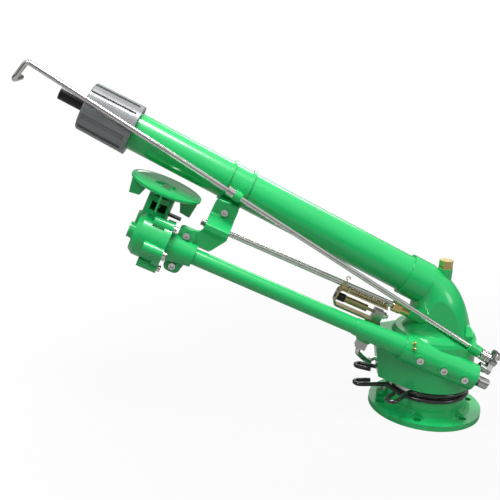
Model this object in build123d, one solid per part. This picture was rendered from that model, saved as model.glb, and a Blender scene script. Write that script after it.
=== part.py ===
from build123d import *
import math
import os

# Big-gun irrigation sprinkler: a barrel that turns slowly on a flanged base.
# A small water jet spins an impeller, whose gearbox and long shaft drive a worm
# around a ring gear fixed to the base.
# Millimetres. Origin at the centre of the flange's underside, +Z up the swivel axis,
# barrel towards -X, the drive on the -Y side.

# Clearances
run_gap = 0.05
free_gap = 0.4
seat_gap = 0.3

# Base flange and neck
flange_r = 90.0
flange_t = 9.0
flange_pcd_r = 75.0
flange_hole_r = 6.5
flange_hole_count = 6
flange_hole_start = 12.0
inlet_r = 31.0
hub_r = 64.0
hub_top_z = 33.7
band_r = 60.4
band_top_z = 51.0
sleeve_r = 37.5
sleeve_top_z = 133.0
shoulder_z = 60.0
hub_lug_r = 9.0
hub_lug_top_z = 24.0
hub_lug_x = -70.0
hub_pin_r = 2.2
hub_pin_len = 8.0

# Stop rings, bent from round wire
wire_r = 3.4
lower_ring_z = 37.3
upper_ring_z = 47.3
ring_loop_reach = 118.0
ring_loop_back = 90.0
ring_loop_r = 8.0
ring_bend_r = 8.0
lower_ring_ends = (190.0, 112.0)
upper_ring_ends = (236.0, 158.0)

# Swivel bearing, 75 x 115 x 20
bearing_bore_r = 37.5
bearing_outer_r = 57.5
bearing_w = 20.0
bearing_z = 62.0
bearing_section = bearing_outer_r - bearing_bore_r
ball_r = 0.3 * bearing_section
ball_count = 14
race_t = 0.28 * bearing_section
shoulder_r = bearing_outer_r - 0.375 * bearing_section

# Ring gear and output worm
gear_module = 2.5
gear_teeth = 39
gear_w = 16.0
worm_starts = 3
worm_tilt = 20.0
addendum = 2.25
dedendum = 2.85
tooth_t = 3.4
pressure_angle = 20.0
worm_len = 64.0
gear_z = 102.8

# Upper bush, seals and rings on the sleeve
bush_wall = 6.0
bush_len = 11.0
seal_len = 6.0
circlip_t = 2.0
circlip_r = 41.0

# Head casting
skirt_r = bearing_outer_r + 12.5
skirt_top_r = bearing_outer_r + 9.5
skirt_z = 53.0
skirt_top_z = 127.0
nose_x = 82.0
nose_top_x = 95.0
nose_half = 20.0
shoulder_top_z = 137.0
gear_chamber_gap = 1.0
casting_wall = 6.0
worm_housing_r = 21.0
worm_housing_front = 62.0
worm_housing_rear = 60.0
snout_r_in = 17.5
snout_r_out = 13.4
snout_end = 142.0
plug_boss_r = 11.5
plug_boss_x = 4.6
plug_boss_z = 235.8
plug_r = 8.0

# Barrel and nozzle, along the axis that rises 24 degrees
barrel_angle = 24.0
barrel_axis_z = 197.1
barrel_r = 29.0
bore_r = 25.0
barrel_start = 31.0
barrel_end = 560.0
socket_start = 26.0
socket_end = 62.0
socket_r = 32.9
rib_places = (342.0, 375.0)
rib_r = 32.2
rib_w = 5.0
cap_rear = 533.0
cap_front = 613.0
cap_rear_r = 39.3
cap_front_r = 37.6
cap_rib_count = 12
cap_groove_w = 7.5
cap_groove_d = 2.6
nozzle_end = 655.0
nozzle_tube_r = 11.2
orifice_r = 8.0
nozzle_flange_t = 5.0
nozzle_seal_t = 2.0
straightener_start = 70.0
straightener_len = 90.0
straightener_vanes = 6
vane_wall = 1.6

# Long drive shaft in its tube
tube_r = 12.5
tube_wall = 2.5
tube_front = 440.0
tube_rear = 70.0
shaft_r = 6.0
shaft_rear = 86.0

# Gearbox and impeller
wheel_module = 1.5
wheel_teeth = 32
input_starts = 2
input_worm_r = 7.8
input_addendum = 1.35
input_dedendum = 1.75
input_tooth_t = 2.0
wheel_w = 12.0
input_worm_len = 26.0
impeller_x = 486.0
gearbox_r = 33.0
gearbox_front_x = impeller_x + 17.0
gearbox_joint_x = impeller_x - 28.0
gearbox_rear_x = gearbox_joint_x - 6.0
shaft_front = gearbox_front_x + 5.0
flange_rim_r = 36.5
gearbox_wall = 4.0
tower_r = 20.0
tower_top = 58.0
tower_bottom = 24.0
sleeve_front_r = 23.0
sleeve_rear_r = 17.0
sleeve_rear_x = 408.0
impeller_shaft_r = 5.0
impeller_r = 55.5
impeller_z = 70.0
impeller_t = 5.0
impeller_recess_r = 18.5
vane_count = 4
vane_t = 3.0
vane_in = 27.0
vane_out = 52.0
vane_drop = 27.0

# Yoke between barrel and gearbox
yoke_front = 410.0
yoke_rear = 373.0
yoke_t = 8.0
pad_t = 10.0
ear_t = 6.0
ear_half = 13.0
ear_tip = 10.0
yoke_crest = 5.0
screw_r = 3.0
screw_head_r = 5.2
screw_head_t = 5.0

# Drive nozzle tube, beside the shaft tube and parallel to it
water_tube_r = 4.75
water_tube_bore = 3.4
water_tube_z = 45.5
water_tube_front = 418.0
water_pivot_x = 80.0
water_ball_r = 6.4
fitting_rear = 69.0
fitting_front = 96.0
fitting_split = 82.0
fitting_r = 8.5
fitting_boss_r = 9.5
fitting_stem_r = 5.0

# Toggle frame
toggle_pivot_x = 112.0
toggle_front = 184.0
toggle_rear = 102.0
toggle_low = 9.5
toggle_high = 39.0
toggle_strip_t = 2.5
toggle_w = 20.0
toggle_boss_low = -26.0
trip_shaft_r = 5.0
clevis_low = -39.0

# Jet breaker, on its own axis beside the barrel
breaker_angle = 29.2
breaker_y = -42.8
breaker_axis_z = 152.85
breaker_r = 4.0
breaker_front = 729.0
breaker_rear = 106.0
guide_front = 378.0
guide_len = 12.0
guide_r = 8.0
rear_lug_front = 54.0
rear_lug_rear = 73.0
rear_lug_r = 9.0
spring_wire_r = 1.2
spring_r = 7.8
spring_turns = 5
hook_drop = 33.0
hub_r_out = 9.5
crank_front = 93.0
crank_rear = 104.0
crank_reach = 18.0
crank_turn = 152.2
roller_front = 83.0

# Breaker cam on the rear end of the drive shaft
cam_front = 69.0
cam_rear = 84.0
cam_r = 8.5
cam_offset = 2.5
roller_r = 6.5

tilt = math.radians(worm_tilt)
ring_gear_pitch_r = gear_module * gear_teeth / 2
worm_pitch_r = gear_module * worm_starts / math.sin(tilt) / 2
worm_lead = worm_starts * math.pi * gear_module / math.cos(tilt)
drive_y = ring_gear_pitch_r + worm_pitch_r
input_lead_angle = math.asin(input_starts * wheel_module / (2 * input_worm_r))
wheel_pitch_r = wheel_module * wheel_teeth / math.cos(input_lead_angle) / 2
input_lead = 2 * math.pi * input_worm_r * math.tan(input_lead_angle)
impeller_y = wheel_pitch_r + input_worm_r
impeller_world_y = impeller_y - drive_y

# The drive frame lies along the shaft tube, the barrel frame along the barrel and
# the breaker frame along the breaker rod. Each has +X down and to the rear.
drive_frame = Location((0, -drive_y, gear_z), (0, worm_tilt, 0))
barrel_frame = Location((0, 0, barrel_axis_z), (0, barrel_angle, 0))
breaker_frame = Location((0, breaker_y, breaker_axis_z), (0, breaker_angle, 0))


def rod_x(r, x0, x1, y=0, z=0):
    return Pos((x0 + x1) / 2, y, z) * Rot(0, 90, 0) * Cylinder(r, abs(x1 - x0))


def rod_y(r, y0, y1, x=0, z=0):
    return Pos(x, (y0 + y1) / 2, z) * Rot(90, 0, 0) * Cylinder(r, abs(y1 - y0))


def rod_z(r, z0, z1, x=0, y=0):
    return Pos(x, y, (z0 + z1) / 2) * Cylinder(r, abs(z1 - z0))


def block(x0, x1, y0, y1, z0, z1):
    middle = Pos((x0 + x1) / 2, (y0 + y1) / 2, (z0 + z1) / 2)
    return middle * Box(abs(x1 - x0), abs(y1 - y0), abs(z1 - z0))


def cone_x(r0, r1, x0, x1):
    # radius r0 at x0 and r1 at x1, with x0 the lower value
    return Pos((x0 + x1) / 2, 0, 0) * Rot(0, 90, 0) * Cone(r0, r1, x1 - x0)


def hex_x(across, x0, x1, y=0, z=0):
    prism = extrude(RegularPolygon(across / 2, 6, major_radius=False), abs(x1 - x0))
    return Pos(min(x0, x1), y, z) * Rot(0, 90, 0) * prism


def hex_z(across, z0, z1, x=0, y=0):
    prism = extrude(RegularPolygon(across / 2, 6, major_radius=False), abs(z1 - z0))
    return Pos(x, y, min(z0, z1)) * prism


def revolve_z(points):
    return revolve(Plane.XZ * make_face(Polyline(*points, close=True)), Axis.Z)


def ring_z(r_out, r_in, z0, z1):
    return rod_z(r_out, z0, z1) - rod_z(r_in, z0 - 1, z1 + 1)


def ring_x(r_out, r_in, x0, x1, y=0, z=0):
    hole = Pos((x0 + x1) / 2, y, z) * Rot(0, 90, 0) * Cylinder(r_in, abs(x1 - x0) + 2)
    return rod_x(r_out, x0, x1, y, z) - hole


def polar(r, degrees, z=0.0):
    return Vector(r * math.cos(math.radians(degrees)), r * math.sin(math.radians(degrees)), z)


def arc_about(centre, start, end):
    r = (start - centre).length
    towards = (start - centre) + (end - centre)
    return Edge.make_three_point_arc(start, centre + towards.normalized() * r, end)


def bent_rod(r, points, bend):
    path = FilletPolyline(*points, radius=bend)
    start = path @ 0
    section = Plane(origin=start, z_dir=path % 0) * Circle(r)
    return sweep(section, path=path)


def gear_outline(teeth, root_r, tip_r, pitch_r, thickness, gap_at=0.0):
    # straight-sided teeth; a gap is centred on the direction gap_at
    slope = math.tan(math.radians(pressure_angle))
    points = []
    for i in range(teeth):
        middle = gap_at + (i + 0.5) * 360 / teeth
        for side, r in ((-1, root_r), (-1, tip_r), (1, tip_r), (1, root_r)):
            half = thickness / 2 - (r - pitch_r) * slope
            points.append(polar(r, middle + side * math.degrees(half / pitch_r)))
    return Face(Wire.make_polygon(points))


def worm_outline(starts, root_r, tip_r, pitch_r, axial_t, lead, lead_angle, turn):
    # cross-section of a screw thread: straight axial flanks become spirals
    slope = math.tan(math.radians(pressure_angle)) / math.cos(lead_angle)
    edges = []
    for i in range(starts):
        middle = turn + i * 360 / starts
        half_tip = (axial_t / 2 - (tip_r - pitch_r) * slope) / lead * 360
        half_root = (axial_t / 2 - (root_r - pitch_r) * slope) / lead * 360
        a = polar(root_r, middle - half_root)
        b = polar(tip_r, middle - half_tip)
        c = polar(tip_r, middle + half_tip)
        d = polar(root_r, middle + half_root)
        following = polar(root_r, middle + 360 / starts - half_root)
        valley = polar(root_r, middle + 180 / starts)
        edges += [
            Edge.make_line(a, b),
            Edge.make_three_point_arc(b, polar(tip_r, middle), c),
            Edge.make_line(c, d),
            Edge.make_three_point_arc(d, valley, following),
        ]
    return Face(Wire(edges))


def base_flange():
    body = revolve_z([
        (inlet_r, 0), (flange_r, 0), (flange_r, flange_t), (hub_r + 9, flange_t),
        (hub_r + 2.5, flange_t + 2.5), (hub_r, flange_t + 9), (hub_r, hub_top_z),
        (band_r, hub_top_z), (band_r, band_top_z), (shoulder_r, band_top_z),
        (shoulder_r, shoulder_z), (sleeve_r + race_t, shoulder_z), (sleeve_r + race_t, bearing_z),
        (sleeve_r, bearing_z), (sleeve_r, sleeve_top_z),
        (inlet_r, sleeve_top_z),
    ])
    lug = rod_z(hub_lug_r, flange_t - 1, hub_lug_top_z, hub_lug_x)
    body += lug
    body -= rod_z(hub_pin_r, hub_lug_top_z - 5, hub_lug_top_z + 1, hub_lug_x - 3)
    step = 360 / flange_hole_count
    for i in range(flange_hole_count):
        place = polar(flange_pcd_r, flange_hole_start + i * step)
        body -= rod_z(flange_hole_r, -1, flange_t + 1, place.X, place.Y)
        body -= rod_z(flange_hole_r + 4.5, flange_t, flange_t + 8, place.X, place.Y)
    groove = ring_z(sleeve_r + 1, sleeve_r - 1.2, gear_top + seat_gap, gear_top + seat_gap + circlip_t)
    return body - groove - ring_gear_key_block(0.0)


def ring_gear_key_block(gap):
    half = 4.0 - gap
    return block(sleeve_r - 2.5 + gap, sleeve_r + 3.0 - gap, -half, half, gear_low, gear_top)


gear_low = gear_z - gear_w / 2
gear_top = gear_z + gear_w / 2


def ring_gear():
    outline = gear_outline(
        gear_teeth, ring_gear_pitch_r - dedendum, ring_gear_pitch_r + addendum,
        ring_gear_pitch_r, tooth_t, gap_at=-90.0,
    )
    body = Pos(0, 0, gear_low) * extrude(outline, gear_w)
    body += rod_z(sleeve_r + 5, bearing_z + bearing_w, gear_low)
    body -= rod_z(sleeve_r, bearing_z, gear_top + 1)
    return body - ring_gear_key_block(0.0)


def hub_pin():
    stem = rod_z(hub_pin_r, hub_lug_top_z - 5, hub_lug_top_z + 2, hub_lug_x - 3)
    head = rod_z(hub_pin_r + 1, hub_lug_top_z, hub_lug_top_z + hub_pin_len - 3, hub_lug_x - 3)
    tip = Pos(hub_lug_x - 3, 0, hub_lug_top_z + hub_pin_len - 3 + 0.75) * Cone(hub_pin_r, 1.2, 1.5)
    return stem + head + tip


def bearing_race(r_in, r_out):
    body = ring_z(r_out, r_in, bearing_z, bearing_z + bearing_w)
    return body - Pos(0, 0, bearing_z + bearing_w / 2) * Torus(ball_circle_r, ball_r + run_gap)


ball_circle_r = (bearing_bore_r + bearing_outer_r) / 2


def bearing_balls():
    balls = []
    for i in range(ball_count):
        place = polar(ball_circle_r, i * 360 / ball_count, bearing_z + bearing_w / 2)
        balls.append(Pos(place) * Sphere(ball_r))
    return Compound(children=balls)


def external_circlip():
    z0 = gear_top + seat_gap
    body = ring_z(circlip_r, sleeve_r - 1.2, z0, z0 + circlip_t)
    return body - block(0, circlip_r + 2, -4, 4, z0 - 1, z0 + circlip_t + 1)


def bearing_circlip():
    z1 = bearing_z
    body = ring_z(bearing_outer_r + 1.5, bearing_outer_r - 3.5, z1 - circlip_t, z1)
    return body - block(0, bearing_outer_r + 3, -5, 5, z1 - circlip_t - 1, z1 + 1)


def dust_seal():
    return ring_z(bearing_outer_r, shoulder_r + run_gap, skirt_z + 1, bearing_z - circlip_t)


def stop_ring(z, ends):
    # one round wire: almost a full turn round the neck, a finger loop at each end
    ring_r = band_r + 0.1 + wire_r
    skew = math.degrees(math.asin(ring_bend_r / (ring_r + ring_bend_r)))
    line_r = (ring_r + ring_bend_r) * math.cos(math.radians(skew))
    start_deg, end_deg = ends
    edges = []
    joints = []
    for degrees, side in ((start_deg, 1), (end_deg, -1)):
        outward = polar(1, degrees)
        across = Vector(-outward.Y, outward.X, 0) * -side
        on_ring = polar(ring_r, degrees + side * skew, z)
        centre = polar(ring_r + ring_bend_r, degrees + side * skew, z)
        line_start = polar(line_r, degrees, z)
        line_end = polar(ring_loop_reach - ring_loop_r, degrees, z)
        far_start = line_end + across * (2 * ring_loop_r)
        crown = line_end + across * ring_loop_r + outward * ring_loop_r
        far_end = polar(ring_loop_back, degrees, z) + across * (2 * ring_loop_r)
        leg = [
            arc_about(centre, on_ring, line_start),
            Edge.make_line(line_start, line_end),
            Edge.make_three_point_arc(line_end, crown, far_start),
            Edge.make_line(far_start, far_end),
        ]
        joints.append(on_ring)
        edges.append(leg)
    span = (end_deg - start_deg) % 360
    opposite = polar(ring_r, start_deg + span / 2, z)
    arc = Edge.make_three_point_arc(joints[0], opposite, joints[1])
    path = Wire(edges[0] + [arc] + edges[1])
    start = edges[0][-1] @ 1
    section = Plane(origin=start, z_dir=edges[0][-1] % 1) * Circle(wire_r)
    return sweep(section, path=path)


def head_plan(r, nose, z):
    # a circle with a blunt nose towards -X, joined by its two tangents
    corner = Vector(-nose, nose_half, 0)
    turn = math.degrees(math.acos(r / corner.length))
    corner_deg = math.degrees(math.atan2(corner.Y, corner.X))
    touch = polar(r, corner_deg - turn)
    left = Vector(touch.X, -touch.Y, 0)
    edges = [
        Edge.make_line(left, Vector(-nose, -nose_half, 0)),
        Edge.make_line(Vector(-nose, -nose_half, 0), Vector(-nose, nose_half, 0)),
        Edge.make_line(Vector(-nose, nose_half, 0), touch),
        Edge.make_three_point_arc(touch, Vector(r, 0, 0), left),
    ]
    return Pos(0, 0, z) * Face(Wire(edges))


# Stations of the elbow: centre x and z, half-widths along and across, the radius
# of the water passage and the lean of the section from level
elbow_stations = (
    (3.0, 133.0, 57.0, 50.0, 31.0, 0.0),
    (4.0, 150.0, 49.5, 44.0, 31.0, 0.0),
    (0.0, 173.0, 43.3, 41.0, 31.0, 7.0),
    (-8.5, 192.5, 36.5, 36.5, 29.5, 23.4),
    (-16.7, 201.7, 33.3, 33.3, 27.0, 42.0),
    (-28.3, 209.7, 32.2, 32.2, 26.0, 66.0),
)


def elbow_form(passage):
    sections = []
    for x, z, half_x, half_y, inside, lean in elbow_stations:
        plane = Plane(Location((x, 0, z), (0, -lean, 0)))
        outline = Circle(inside) if passage else Ellipse(half_x, half_y)
        sections.append(plane * outline)
    if passage:
        # the passage runs on a little way, into the barrel's seat
        sections[-1] = barrel_frame * Pos(-barrel_start - 2, 0, 0) * Rot(0, -90, 0) * Circle(inside)
    return loft(sections)


def body_casting():
    skirt = loft([head_plan(skirt_r, nose_x, skirt_z), head_plan(skirt_top_r, nose_top_x, skirt_top_z)])
    dome = revolve(Plane.XZ * make_face(Polyline(
        (0, skirt_top_z - 20), (skirt_top_r, skirt_top_z - 20), (skirt_top_r, skirt_top_z - 3),
        (skirt_top_r - 2.5, skirt_top_z + 5), (skirt_top_r - 6, shoulder_top_z), (0, shoulder_top_z),
        close=True)), Axis.Z)
    body = skirt + dome + elbow_form(False)
    body += barrel_frame * rod_x(socket_r, -socket_end, -socket_start)
    body += rod_z(plug_boss_r, plug_boss_z - 45, plug_boss_z, plug_boss_x)
    body += drive_frame * worm_housing()
    body += drive_frame * toggle_arm()
    boss = rod_x(fitting_boss_r, -fitting_rear, -30, impeller_y, water_tube_z)
    body += drive_frame * boss
    body += breaker_lug()
    return body - casting_hollows() - rod_channel()


def rod_channel():
    # room for the breaker rod where it crosses the near side of the casting
    near = -drive_y - 30 - breaker_y
    pocket = block(-110, rear_lug_front, near, breaker_r + 2, -breaker_r - 2.5, 60)
    return breaker_frame * pocket


def worm_housing():
    housing = rod_x(worm_housing_r, -worm_housing_front, worm_housing_rear)
    housing += cone_x(snout_r_out, snout_r_in, -snout_end, -worm_housing_front + 2)
    for x in housing_screw_x:
        housing += rod_y(7.5, -worm_housing_r - 1.5, 0, x, housing_screw_z)
    return housing


housing_screw_x = (-35.0, 5.0, 40.0)
housing_screw_z = -2.0


def toggle_arm():
    # a flat arm from the casing to the boss that the toggle frame turns on
    arm = block(-toggle_pivot_x, -45, impeller_y - 11, impeller_y + 11, -14, 3)
    boss = rod_z(12.5, toggle_boss_low, toggle_low - seat_gap, -toggle_pivot_x, impeller_y)
    return arm + boss


def breaker_lug():
    lug = breaker_frame * rod_x(rear_lug_r, rear_lug_front, rear_lug_rear)
    web = block(40, 60, breaker_y - 5, breaker_y + 24, 112, 130)
    rib = loft([
        Pos(50, breaker_y + 3, 124) * Rectangle(20, 12),
        Pos(46, breaker_y + 20, 152) * Rectangle(6, 12),
    ])
    return lug + web + rib


def casting_hollows():
    race_top = bearing_z + bearing_w
    cut = rod_z(bearing_outer_r, skirt_z - 1, race_top)
    gear_chamber_r = ring_gear_pitch_r + addendum + gear_chamber_gap
    cut += rod_z(gear_chamber_r, race_top - 1, gear_top + 2 * circlip_t)
    cut += rod_z(sleeve_r + bush_wall, gear_top, bush_low + bush_len + seal_len)
    cut += rod_z(sleeve_r + 2, bush_low, sleeve_top_z + 3)
    cut += ring_z(bearing_outer_r + 1.5, bearing_outer_r - 1, bearing_z - circlip_t, bearing_z)
    cut += elbow_form(True)
    cut += barrel_frame * rod_x(barrel_r + run_gap, -socket_end - 1, -barrel_start)
    cut += rod_z(plug_r, plug_boss_z - 60, plug_boss_z + 1, plug_boss_x)
    worm_bore = rod_x(worm_bore_r, -tube_rear, worm_housing_rear + 1)
    worm_bore += rod_x(tube_r + run_gap, -snout_end - 1, -tube_rear + 1)
    for x in housing_screw_x:
        worm_bore += rod_y(screw_r, -worm_housing_r - 3, -worm_bore_r + 2, x, housing_screw_z)
    worm_bore += rod_z(trip_shaft_r + run_gap, -40, toggle_low, -toggle_pivot_x, impeller_y)
    worm_bore += rod_x(water_tube_bore, -fitting_rear - 1, -20, impeller_y, water_tube_z)
    worm_bore += rod_x(fitting_stem_r, -fitting_rear - 1, -fitting_rear + 8, impeller_y, water_tube_z)
    cut += drive_frame * worm_bore
    for x, angle in nipple_places:
        cut += on_housing(x, angle) * rod_y(nipple_r, worm_housing_r - 3, worm_housing_r + 5)
    cut += breaker_frame * rod_x(breaker_r + run_gap, rear_lug_front - 2, rear_lug_rear + 2)
    return cut


worm_bore_r = worm_pitch_r + addendum + 0.8
bush_low = gear_top + 2 * circlip_t + 1.0


def upper_bush():
    return ring_z(sleeve_r + bush_wall, sleeve_r + run_gap, bush_low, bush_low + bush_len)


def water_seal():
    z0 = bush_low + bush_len
    body = ring_z(sleeve_r + bush_wall, sleeve_r + run_gap, z0, z0 + seal_len)
    return body - ring_z(sleeve_r + 4, sleeve_r + 1.5, z0 + 2, z0 + seal_len + 1)


def pressure_plug():
    low = rod_z(plug_r, plug_boss_z - 12, plug_boss_z, plug_boss_x)
    collar = rod_z(plug_boss_r - 0.8, plug_boss_z, plug_boss_z + 2, plug_boss_x)
    head = hex_z(19, plug_boss_z + 2, plug_boss_z + 13, plug_boss_x)
    return low + collar + head


def barrel():
    tube = ring_x(barrel_r, bore_r, -barrel_end, -barrel_start)
    for place in rib_places:
        rib = ring_x(rib_r, bore_r + 1, -place - rib_w / 2, -place + rib_w / 2)
        tube += rib
    body = barrel_frame * tube
    body += breaker_frame * rod_x(guide_r, -guide_front, -guide_front + guide_len)
    guide_web = breaker_frame * block(-guide_front, -guide_front + guide_len, 0, 24, -6, 6)
    body += guide_web
    body += drive_frame * block(-yoke_front + 2, -yoke_rear - 2, yoke_pad_y, yoke_pad_y + 36, 64, 92)
    body -= barrel_frame * rod_x(bore_r, -barrel_end - 1, -barrel_start + 1)
    body -= breaker_frame * rod_x(breaker_r + run_gap, -guide_front - 2, -guide_front + guide_len + 2)
    hole = rod_y(screw_r, yoke_pad_y - 1, yoke_pad_y + 12, -yoke_middle, yoke_screw_z)
    return body - drive_frame * hole


yoke_middle = (yoke_front + yoke_rear) / 2
yoke_screw_z = 74.0
yoke_pad_y = 37.7


def flow_straightener():
    x0 = -straightener_start - straightener_len
    x1 = -straightener_start
    body = ring_x(bore_r, bore_r - vane_wall, x0, x1)
    for i in range(straightener_vanes // 2):
        vane = block(x0, x1, -bore_r + 1, bore_r - 1, -vane_wall / 2, vane_wall / 2)
        body += Rot(360 / straightener_vanes * i, 0, 0) * vane
    return barrel_frame * body


def nozzle_cap():
    body = cone_x(cap_front_r, cap_rear_r, -cap_front, -cap_rear)
    body = chamfer(body.edges().group_by(Axis.X)[0], 2.0)
    for i in range(cap_rib_count):
        groove = block(-cap_front - 1, -cap_rear - 6, -cap_groove_w / 2, cap_groove_w / 2,
                       cap_rear_r - cap_groove_d, cap_rear_r + 5)
        lean = Pos(-cap_rear, 0, 0) * Rot(0, -cap_taper, 0) * Pos(cap_rear, 0, 0) * groove
        body -= Rot((i + 0.5) * 360 / cap_rib_count, 0, 0) * lean
    body -= rod_x(barrel_r + run_gap, -insert_rear - nozzle_flange_t, -cap_rear + 1)
    body -= rod_x(nozzle_tube_r + 1.0, -cap_front - 1, -cap_rear)
    body -= cone_x(nozzle_tube_r + 3, barrel_r - 3, -cap_front + 8, -insert_rear - nozzle_flange_t + 0.5)
    return barrel_frame * body


cap_taper = math.degrees(math.atan((cap_rear_r - cap_front_r) / (cap_front - cap_rear)))
insert_rear = barrel_end + nozzle_seal_t


def nozzle_insert():
    neck = cap_front - 2
    profile = Polyline(
        (-insert_rear, bore_r), (-insert_rear, barrel_r), (-insert_rear - nozzle_flange_t, barrel_r),
        (-insert_rear - nozzle_flange_t, bore_r), (-neck + 12, nozzle_tube_r), (-nozzle_end, nozzle_tube_r),
        (-nozzle_end, orifice_r), (-neck + 8, orifice_r), (-insert_rear - 2, bore_r - 2.5),
        close=True)
    return barrel_frame * revolve(Plane.XY * make_face(profile), Axis.X)


def nozzle_seal():
    return barrel_frame * ring_x(barrel_r, bore_r, -insert_rear, -barrel_end)


def shaft_tube():
    return drive_frame * ring_x(tube_r, tube_r - tube_wall, -tube_front, -tube_rear)


def drive_shaft():
    body = rod_x(shaft_r, -shaft_front, worm_housing_rear)
    body += rod_x(shaft_r - 1, worm_housing_rear - 1, shaft_rear)
    return drive_frame * body


def output_worm():
    axial_t = tooth_t / math.cos(tilt)
    twist = -360 * worm_len / worm_lead
    outline = worm_outline(
        worm_starts, worm_pitch_r - dedendum, worm_pitch_r + addendum, worm_pitch_r,
        axial_t, worm_lead, tilt, -twist / 2,
    )
    thread = Solid.extrude_linear_with_rotation(outline, (0, 0, 0), (0, 0, worm_len), twist)
    thread -= Pos(0, 0, worm_len / 2) * Cylinder(shaft_r, worm_len + 2)
    return drive_frame * (Location(Plane.YZ.offset(-worm_len / 2)) * thread)


worm_bush_end = 52.0


def worm_bushes():
    bushes = []
    for side in (-1, 1):
        near = side * (worm_len / 2 + seat_gap)
        bush = ring_x(worm_bore_r, shaft_r + run_gap, near, side * worm_bush_end)
        bushes.append(drive_frame * bush)
    return bushes


def socket_screw_y(x, y, z, length):
    # head towards -Y, seated on the plane y
    head = rod_y(screw_head_r, y - screw_head_t, y, x, z)
    head -= rod_y(2.6, y - screw_head_t - 1, y - screw_head_t + 2.6, x, z)
    return head + rod_y(screw_r, y - 0.5, y + length, x, z)


def housing_screws():
    seat = -worm_housing_r - 1.5
    screws = [drive_frame * socket_screw_y(x, seat, housing_screw_z, 6) for x in housing_screw_x]
    return screws


# Grease nipples: place along the worm housing and angle round it
nipple_places = ((-52.0, 134.0), (-50.0, 154.0))
nipple_r = 2.6


def on_housing(x, angle):
    return drive_frame * Pos(x, 0, 0) * Rot(angle, 0, 0)


def grease_nipples():
    nipples = []
    for x, angle in nipple_places:
        stem = rod_y(nipple_r, worm_housing_r - 3, worm_housing_r + 3)
        neck = rod_y(nipple_r - 1, worm_housing_r + 2, worm_housing_r + 6)
        ball = Pos(0, worm_housing_r + 6, 0) * Sphere(2.2)
        nipples.append(on_housing(x, angle) * (stem + neck + ball))
    return nipples


def gearbox_outline_bosses(x0, x1):
    bosses = None
    for y, z in gearbox_screw_places:
        boss = rod_x(9.0, x0, x1, y, z)
        bosses = boss if bosses is None else bosses + boss
    return bosses


gearbox_screw_places = ((-14.0, 30.0), (-6.0, -37.0), (-33.0, -6.0), (24.0, -29.0))


def gearbox_front():
    body = cone_x(gearbox_r - 6, gearbox_r, -gearbox_front_x, -gearbox_front_x + 8)
    body += rod_x(gearbox_r, -gearbox_front_x + 8, -gearbox_joint_x)
    body += rod_x(flange_rim_r, -gearbox_joint_x - 5, -gearbox_joint_x)
    body += gearbox_outline_bosses(-gearbox_joint_x - 24, -gearbox_joint_x)
    body += rod_x(12.0, -gearbox_front_x - 9, -gearbox_front_x + 6)
    tower = rod_z(tower_r, -tower_bottom, tower_top, -impeller_x, impeller_y)
    body += tower
    body += rod_z(tower_r + 4, -tower_bottom + 4, 22, -impeller_x, impeller_y)
    wheel_room = wheel_pitch_r + input_addendum + 1.0
    cut = rod_x(wheel_room, -gearbox_front_x + gearbox_wall + 2, -gearbox_joint_x + 1)
    worm_room = input_worm_r + input_addendum + 1.0
    cut += rod_z(worm_room, -input_worm_len / 2 - 1, input_worm_len / 2 + 1, -impeller_x, impeller_y)
    cut += rod_x(shaft_r + run_gap, -shaft_front - 0.4, -gearbox_front_x + 10)
    cut += rod_z(impeller_bush_r, -tower_bottom + 3, 30, -impeller_x, impeller_y)
    cut += rod_z(tower_r - 4, 34, tower_top - 6, -impeller_x, impeller_y)
    cut += rod_z(impeller_bush_r, tower_top - 7, tower_top + 1, -impeller_x, impeller_y)
    cut += rod_z(impeller_shaft_r + 0.5, 0, tower_top, -impeller_x, impeller_y)
    window = block(-impeller_x - 11, -impeller_x + 13, impeller_y - tower_r - 1, impeller_y - 4, 36, tower_top - 8)
    cut += window
    for y, z in gearbox_screw_places:
        cut += rod_x(screw_r, -gearbox_joint_x - 20, -gearbox_joint_x + 1, y, z)
    return drive_frame * (body - cut - keeper_block())


impeller_bush_r = 8.5


def keeper_block():
    # a flat plate slid into the tower beside the impeller shaft
    x0 = -impeller_x + impeller_shaft_r + 3
    return block(x0, x0 + 31, impeller_y - 6, impeller_y + 6, 34, 37)


def keeper_plate():
    return drive_frame * keeper_block()


def gearbox_rear():
    face = -gearbox_joint_x
    body = rod_x(flange_rim_r, face, -gearbox_rear_x + 1)
    body += gearbox_outline_bosses(face, -gearbox_rear_x + 1)
    body += cone_x(sleeve_front_r, sleeve_rear_r, -gearbox_rear_x, -sleeve_rear_x)
    for x, reach in ear_places:
        far = reach + math.copysign(ear_tip, reach)
        corners = ((x - ear_half, 0), (x + ear_half, 0), (x + ear_half, far), (x - ear_half, far))
        body += plate_y(corners, 9.0, ear_face, ear_face + ear_t)
    cut = rod_x(tube_r + run_gap, -tube_front, -sleeve_rear_x + 1)
    cut += rod_x(shaft_bush_r, face - 1, -tube_front + 1)
    for y, z in gearbox_screw_places:
        cut += rod_x(screw_r, face - 1, -gearbox_rear_x + 2, y, z)
    for x, reach in ear_places:
        cut += rod_y(screw_r, ear_face - 1, ear_face + ear_t + 1, x, reach)
    return drive_frame * (body - cut)


ear_face = -2.3
ear_x = 430.0
ear_places = ((-430.0, 26.0), (-432.0, -26.0))
shaft_bush_r = 10.0


def gearbox_shaft_bush():
    face = -gearbox_joint_x
    return drive_frame * ring_x(shaft_bush_r, shaft_r + run_gap, face, face + 14)


def gearbox_screws():
    screws = []
    for y, z in gearbox_screw_places:
        seat = -gearbox_rear_x + 1
        head = rod_x(screw_head_r, seat, seat + screw_head_t, y, z)
        head -= rod_x(2.6, seat + screw_head_t - 2.6, seat + screw_head_t + 1, y, z)
        stem = rod_x(screw_r, seat - 20, seat + 0.5, y, z)
        screws.append(drive_frame * (head + stem))
    return screws


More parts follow.
